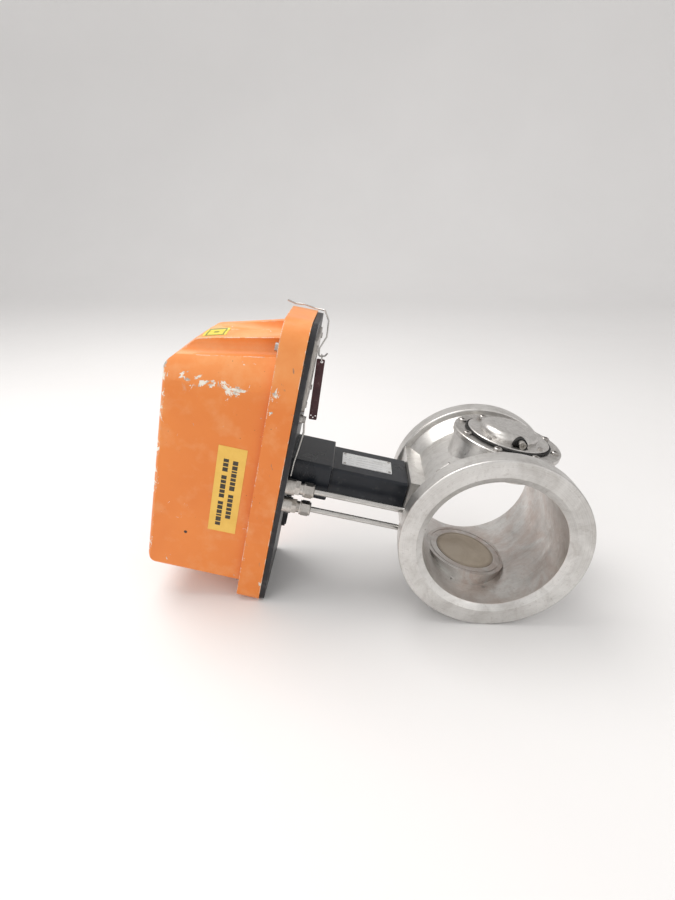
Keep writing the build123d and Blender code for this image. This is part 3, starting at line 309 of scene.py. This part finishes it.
def plate_material():
    """Blank data plate: brushed, with faint ruled boxes and no lettering."""
    m = Mat("data_plate_blank", metallic=0.55)
    n, y = m.dot(N_DIR), m.dot((0, 1, 0))
    grain = m.noise(1.0, 3.0, 0.6, m.scaled(70.0, 1500.0, 70.0))
    base = m.mix(m.span(grain, 0.3, 0.7), (0.84, 0.85, 0.85), (0.70, 0.71, 0.71))
    rows = m.math("PINGPONG", m.math("MULTIPLY", m.math("ADD", y, 0.5), 1000.0), 3.1)
    rule = m.math("MULTIPLY", m.span(rows, 0.42, 0.30), m.span(m.noise(1.0, 2.0, 0.5, m.scaled(240.0, 30.0, 30.0)), 0.43, 0.50))
    edge_in = m.math("MULTIPLY", m.span(m.math("ABSOLUTE", m.math("SUBTRACT", n, 0.150)), 0.0272, 0.0268), m.span(m.math("ABSOLUTE", y), 0.0142, 0.0138))
    base = m.mix(m.math("MULTIPLY", m.math("MULTIPLY", rule, edge_in), 0.55), base, (0.20, 0.22, 0.24))
    base = m.mix(m.span(m.noise(48.0, 5.0, 0.7), 0.52, 0.74, 0.0, 0.40), base, (0.33, 0.31, 0.28))
    return m.done(base, m.span(grain, 0.3, 0.7, 0.26, 0.42), m.bump(grain, 0.10, 0.0004))


def board_material():
    m = Mat("board_solder_mask", specular=0.55)
    y, h = m.dot((0, 1, 0), 1000.0), m.dot(H_DIR, 1000.0)
    v = m.vec(y, h, 0.0)
    brick = m.add("ShaderNodeTexBrick")
    m.put(brick.inputs["Vector"], v)
    brick.inputs["Scale"].default_value = 0.22
    brick.inputs["Mortar Size"].default_value = 0.045
    brick.inputs["Color1"].default_value = (0, 0, 0, 1)
    brick.inputs["Color2"].default_value = (0, 0, 0, 1)
    brick.inputs["Mortar"].default_value = (1, 1, 1, 1)
    trace = m.math("MULTIPLY", brick.outputs["Fac"], m.span(m.noise(0.06, 2.0, 0.5, v), 0.48, 0.52))
    base = m.mix(m.span(m.noise(40.0), 0.35, 0.7), (0.012, 0.115, 0.045), (0.018, 0.150, 0.060))
    base = m.mix(m.math("MULTIPLY", trace, 0.8), base, (0.05, 0.26, 0.11))
    pad = m.span(m.cells(0.24, v), 0.16, 0.12)
    base = m.mix(pad, base, (0.62, 0.60, 0.52))
    return m.done(base, m.span(pad, 0.0, 1.0, 0.30, 0.42), m.bump(m.math("ADD", trace, pad), 0.25, 0.0002))


def tag_material():
    m = Mat("tag_laminate", specular=0.5)
    grain = m.noise(1.0, 3.0, 0.6, m.scaled(500.0, 500.0, 70.0))
    base = m.mix(m.span(m.noise(70.0, 4.0), 0.35, 0.7), (0.050, 0.010, 0.015), (0.080, 0.018, 0.024))
    base = m.mix(m.math("MULTIPLY", m.edges(0.0005), 0.6), base, (0.25, 0.16, 0.15))
    base = m.mix(m.span(m.noise(260.0, 4.0, 0.7), 0.60, 0.74, 0.0, 0.5), base, (0.34, 0.26, 0.25))
    return m.done(base, m.span(grain, 0.3, 0.7, 0.28, 0.44), m.bump(grain, 0.12, 0.0004))


def label_material(name, a, b):
    m = Mat(name, specular=0.45)
    cloud = m.noise(60.0, 4.0, 0.6)
    base = m.mix(m.span(cloud, 0.35, 0.7), a, b)
    base = m.mix(m.span(m.noise(170.0, 6.0, 0.75), 0.62, 0.78, 0.0, 0.5), base, (0.40, 0.33, 0.22))
    return m.done(base, m.span(cloud, 0.3, 0.7, 0.34, 0.48), m.bump(m.noise(300.0, 3.0), 0.08, 0.0003))


MATS = {
    "spool": spool_steel("spool_steel"),
    "ring": spool_steel("ring_steel", tint=(0.70, 0.690, 0.670), dark=(0.50, 0.485, 0.465)),
    "cap": brushed("cap_steel", (0.70, 0.685, 0.665), (0.52, 0.505, 0.485), (260.0, 260.0, 260.0), (0.24, 0.38), 0.30),
    "clamp": brushed("clamp_steel", (0.67, 0.655, 0.635), (0.49, 0.475, 0.455), (300.0, 300.0, 300.0), (0.26, 0.42), 0.40),
    "screw": brushed("screw_steel", (0.55, 0.53, 0.51), (0.36, 0.345, 0.33), (500.0, 500.0, 500.0), (0.24, 0.40), 0.45),
    "tube": brushed("tube_polished", (0.68, 0.665, 0.64), (0.52, 0.505, 0.485), (60.0, 900.0, 900.0), (0.14, 0.28), 0.25),
    "gland": brushed("gland_nickel", (0.64, 0.615, 0.58), (0.46, 0.44, 0.41), (500.0, 500.0, 500.0), (0.20, 0.36), 0.42),
    "copper": brushed("antenna_copper", (0.76, 0.40, 0.22), (0.60, 0.29, 0.15), (300.0, 300.0, 300.0), (0.22, 0.36), 0.25),
    "rear": brushed("rear_plate_steel", (0.55, 0.53, 0.50), (0.40, 0.37, 0.34), (900.0, 60.0, 60.0), (0.28, 0.46), 0.55),
    "wire": brushed("drawn_wire", (0.64, 0.63, 0.61), (0.46, 0.45, 0.43), (700.0, 700.0, 700.0), (0.20, 0.34), 0.30),
    "module": brushed("module_milled", (0.66, 0.66, 0.66), (0.55, 0.55, 0.55), (50.0, 900.0, 900.0), (0.24, 0.38), 0.15),
    "orange": orange_paint(),
    "neck": black_paint("neck_black", (0.007, 0.009, 0.013), (0.018, 0.021, 0.027), (0.24, 0.38), 0.55),
    "base": black_paint("base_black", (0.014, 0.015, 0.018), (0.034, 0.034, 0.037), (0.36, 0.52), 0.75, 0.9),
    "rubber": plastic("black_rubber", (0.012, 0.012, 0.012), (0.026, 0.025, 0.024), (0.55, 0.74), 80.0, 0.3, (0.16, 0.15, 0.14), 0.25),
    "plug": plastic("plug_plastic", (0.022, 0.022, 0.024), (0.040, 0.040, 0.043), (0.40, 0.56), 70.0),
    "psu": plastic("psu_case", (0.018, 0.018, 0.021), (0.034, 0.034, 0.038), (0.38, 0.54), 50.0),
    "terminal": plastic("terminal_green", (0.020, 0.170, 0.070), (0.030, 0.210, 0.090), (0.32, 0.46), 60.0, 0.5, (0.2, 0.4, 0.25), 0.10),
    "window": window_material(),
    "plate": plate_material(),
    "board": board_material(),
    "tag": tag_material(),
}


def kind(name):
    if name in ("front_ring", "rear_ring"):
        return "ring"
    if name == "flow_body":
        return "spool"
    if name.endswith("cap_gasket") or "seal" in name or "gasket" in name or "grommet" in name:
        return "rubber"
    if name.endswith("clamp_ring") or name.endswith("retainer"):
        return "clamp"
    if name.endswith("_cap"):
        return "cap"
    if name in ("lower_window", "upper_window"):
        return "window"
    if name.endswith("_antenna"):
        return "copper"
    if name.endswith("cable_tube"):
        return "tube"
    if "gland" in name or name.endswith("tube_fitting") or name == "upper_cap_connector":
        return "gland"
    if name in ("neck_foot", "neck_head"):
        return "neck"
    fixed = {
        "base_housing": "base", "cover": "orange", "nameplate": "plate", "rear_plate": "rear",
        "earth_wire": "wire", "tag_wire": "wire", "tag_ring": "wire", "entry_plugs": "plug",
        "main_board": "board", "rf_module": "module", "power_supply": "psu",
        "terminal_block": "terminal", "tag_plate": "tag",
    }
    return fixed.get(name, "screw")


for node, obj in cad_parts.items():
    material = MATS[kind(node)]
    if not obj.material_slots:
        obj.data.materials.append(material)
    for slot in obj.material_slots:
        slot.material = material


# ------------------------------------------------------------------ stickers on the cover
def surface(node):
    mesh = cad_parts[node].data
    return BVHTree.FromPolygons([v.co.copy() for v in mesh.vertices], [tuple(p.vertices) for p in mesh.polygons])


cover_tree = surface("cover")


def sticker(name, us, vs, place, into, colour_of, materials, lift=0.00018, thick=0.00016):
    """A thin sheet that follows the cover: a grid of quads, each coloured by its own rule."""
    bm = bmesh.new()
    rows = []
    for v in vs:
        row = []
        for u in us:
            start = place(u, v)
            hit, normal, _, _ = cover_tree.ray_cast(start, into)
            if hit is None:
                raise SystemExit("sticker " + name + " misses the cover")
            if normal.dot(into) > 0:
                normal = -normal
            row.append((bm.verts.new(hit + normal * lift), bm.verts.new(hit + normal * (lift + thick))))
        rows.append(row)
    for j in range(len(vs) - 1):
        for i in range(len(us) - 1):
            a, b, c, d = rows[j][i], rows[j][i + 1], rows[j + 1][i + 1], rows[j + 1][i]
            index = colour_of((us[i] + us[i + 1]) / 2, (vs[j] + vs[j + 1]) / 2)
            f = bm.faces.new((a[1], b[1], c[1], d[1]))
            f.material_index = index
            bm.faces.new((d[0], c[0], b[0], a[0]))
    last_u, last_v = len(us) - 1, len(vs) - 1
    for j in range(last_v):
        for i, flip in ((0, False), (last_u, True)):
            p, q = rows[j][i], rows[j + 1][i]
            bm.faces.new((p[0], p[1], q[1], q[0]) if not flip else (q[0], q[1], p[1], p[0]))
    for i in range(last_u):
        for j, flip in ((0, True), (last_v, False)):
            p, q = rows[j][i], rows[j][i + 1]
            bm.faces.new((p[0], p[1], q[1], q[0]) if not flip else (q[0], q[1], p[1], p[0]))
    bmesh.ops.recalc_face_normals(bm, faces=bm.faces)
    mesh = bpy.data.meshes.new(name)
    bm.to_mesh(mesh)
    bm.free()
    for m in materials:
        mesh.materials.append(m)
    obj = bpy.data.objects.new(name, mesh)
    bpy.context.scene.collection.objects.link(obj)
    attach(obj, "cover")
    return obj


def cuts(lo, hi, marks, step):
    """Grid lines from lo to hi that include every mark and are no further apart than step."""
    keys = sorted({round(x, 4) for x in (lo, hi, *marks)})
    out = []
    for a, b in zip(keys, keys[1:]):
        k = max(1, math.ceil((b - a) / step))
        out += [a + (b - a) * i / k for i in range(k)]
    return out + [keys[-1]]


# two rows of meaningless dark dashes stand where the lettering was
def dashes(start, widths, gap=0.75):
    out, at = [], start
    for w in widths:
        if w < 0:
            at -= w
            continue
        out.append((at, at + w))
        at += w + gap
    return out


ROW_A = (305.0, 311.0)
ROW_B = (294.4, 300.4)
DASH_A = dashes(-67.0, [4.6, 6.1, 2.4, 4.9, 5.3, 4.2, -4.0, 5.0, 4.4, 6.3, 4.2, 4.9, -4.0, 5.2, 4.5, 4.1], 1.05)
DASH_B = dashes(-56.0, [4.7, 4.2, 4.0, 5.2, 4.8, 4.2, -4.4, 6.0, 4.3, 3.9, 4.9, 2.3, 5.1, 5.3], 1.05)


def label_colour(n, h):
    for row, marks in ((ROW_A, DASH_A), (ROW_B, DASH_B)):
        if row[0] < n < row[1] and any(a < h < b for a, b in marks):
            return 1
    return 0


yellow = label_material("label_yellow", (0.82, 0.52, 0.105), (0.76, 0.46, 0.085))
ink = label_material("label_ink", (0.030, 0.024, 0.015), (0.060, 0.048, 0.030))
olive = label_material("sticker_olive", (0.235, 0.215, 0.030), (0.190, 0.175, 0.025))
lime = label_material("sticker_lime", (0.72, 0.62, 0.07), (0.66, 0.57, 0.06))

side_label = sticker(
    "side_label",
    cuts(286.2, 318.6, (*ROW_A, *ROW_B), 4.0),
    cuts(-75.0, 36.0, [x for ab in DASH_A + DASH_B for x in ab], 6.0),
    lambda n, h: pt(n, -90.0, h), Vector((0, 1, 0)), label_colour, (yellow, ink),
)

TOP_N, TOP_Y = (333.0, 358.0), (-15.0, 5.0)


def top_colour(n, y):
    """A dark square outline with a dark dot, on lime."""
    cn, cy = (TOP_N[0] + TOP_N[1]) / 2, (TOP_Y[0] + TOP_Y[1]) / 2
    dn, dy = abs(n - cn), abs(y - cy)
    if 8.2 < max(dn, dy) < 9.8:
        return 1
    return 1 if max(dn, dy) < 2.6 else 0


top_sticker = sticker(
    "top_sticker",
    cuts(*TOP_N, [(TOP_N[0] + TOP_N[1]) / 2 + k for k in (-9.8, -8.2, -2.6, 2.6, 8.2, 9.8)], 3.0),
    cuts(*TOP_Y, [(TOP_Y[0] + TOP_Y[1]) / 2 + k for k in (-9.8, -8.2, -2.6, 2.6, 8.2, 9.8)], 3.0),
    lambda n, y: pt(n, y, 230.0), -Vector(H_DIR), top_colour, (lime, olive),
)


# ------------------------------------------------------------------ dark bead round the domed cover: painted shade for the gap
def seal_bead(name, h, major, minor, around=96, section=12):
    """A black bead that wavers a little, lying in the gap round the cap: painted shade standing in for the shadow in
    that gap.
    """
    bm = bmesh.new()
    rings = []
    for i in range(around):
        a = 2 * math.pi * i / around
        w = minor * (1.0 + 0.10 * math.sin(5 * a) + 0.07 * math.sin(13 * a + 1.0))
        ring = []
        for j in range(section):
            b = 2 * math.pi * j / section
            r = major + w * math.cos(b)
            ring.append(bm.verts.new(pt(r * math.cos(a), r * math.sin(a), h + 0.85 * w * math.sin(b))))
        rings.append(ring)
    for i in range(around):
        p, q = rings[i], rings[(i + 1) % around]
        for j in range(section):
            k = (j + 1) % section
            bm.faces.new((p[j], q[j], q[k], p[k])).smooth = True
    bmesh.ops.recalc_face_normals(bm, faces=bm.faces)
    mesh = bpy.data.meshes.new(name)
    bm.to_mesh(mesh)
    bm.free()
    mesh.materials.append(MATS["rubber"])
    obj = bpy.data.objects.new(name, mesh)
    bpy.context.scene.collection.objects.link(obj)
    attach(obj, "meter")


# the black bead is painted shade for the shadowed gap round the cap
seal_bead("cap_seal_bead", 99.5, 48.45, 1.15)


# ------------------------------------------------------------------ floor, light and camera
def sweep_floor():
    """A pale paper sweep: flat under the object, curving up far behind it."""
    z = cad_lo.z - 0.0003
    path = [(-9.0, z), (-1.6, z), (0.0, z), (1.4, z), (2.2, z)]
    r = 1.3
    for i in range(1, 13):
        a = math.pi / 2 * i / 12
        path.append((2.2 + r * math.sin(a), z + r * (1 - math.cos(a))))
    path.append((3.5, z + 9.0))
    bm = bmesh.new()
    left = [bm.verts.new((-16.0, y, zz)) for y, zz in path]
    right = [bm.verts.new((16.0, y, zz)) for y, zz in path]
    for i in range(len(path) - 1):
        f = bm.faces.new((left[i], right[i], right[i + 1], left[i + 1]))
        f.smooth = True
    mesh = bpy.data.meshes.new("paper_sweep")
    bm.to_mesh(mesh)
    bm.free()
    obj = bpy.data.objects.new("paper_sweep", mesh)
    bpy.context.scene.collection.objects.link(obj)
    m = Mat("paper", specular=0.25)
    tone = m.mix(m.span(m.noise(2.0, 3.0), 0.3, 0.7), (0.835, 0.828, 0.824), (0.815, 0.808, 0.804))
    mesh.materials.append(m.done(tone, m.span(m.noise(30.0), 0.3, 0.7, 0.42, 0.55), m.bump(m.noise(700.0), 0.03, 0.0003)))


sweep_floor()

world = bpy.data.worlds.new("studio")
bpy.context.scene.world = world
bpy.context.scene.view_settings.view_transform = "Standard"
world.use_nodes = True
world.node_tree.nodes["Background"].inputs["Color"].default_value = (1.0, 0.985, 0.975, 1.0)
world.node_tree.nodes["Background"].inputs["Strength"].default_value = 0.74


def area(name, location, target, size, power, colour=(1.0, 0.98, 0.96)):
    light = bpy.data.lights.new(name, "AREA")
    light.shape = "RECTANGLE"
    light.size, light.size_y = size
    light.energy = power
    light.color = colour
    obj = bpy.data.objects.new(name, light)
    obj.location = location
    obj.rotation_euler = (Vector(target) - Vector(location)).to_track_quat("-Z", "Y").to_euler()
    bpy.context.scene.collection.objects.link(obj)


area("overhead", (-0.85, 0.35, 1.7), (-0.05, 0.0, 0.0), (1.3, 1.3), 24.0)
area("front_left", (-1.5, -1.5, 1.1), (-0.15, 0.0, 0.0), (1.4, 1.4), 9.5)
area("front_right", (1.3, -1.6, 0.9), (0.0, 0.0, 0.0), (1.2, 1.2), 4.5)

cam_data = bpy.data.cameras.new("camera")
cam_data.sensor_fit = "AUTO"
cam_data.sensor_width = 36.0
cam_data.lens = 21.36
cam_data.clip_start = 0.01
cam_data.clip_end = 50.0
cam = bpy.data.objects.new("camera", cam_data)
cam.location = (-0.150, -0.579, 0.337)
cam.rotation_euler = (math.radians(65.67), 0.0, math.radians(2.61))
bpy.context.scene.collection.objects.link(cam)
bpy.context.scene.camera = cam
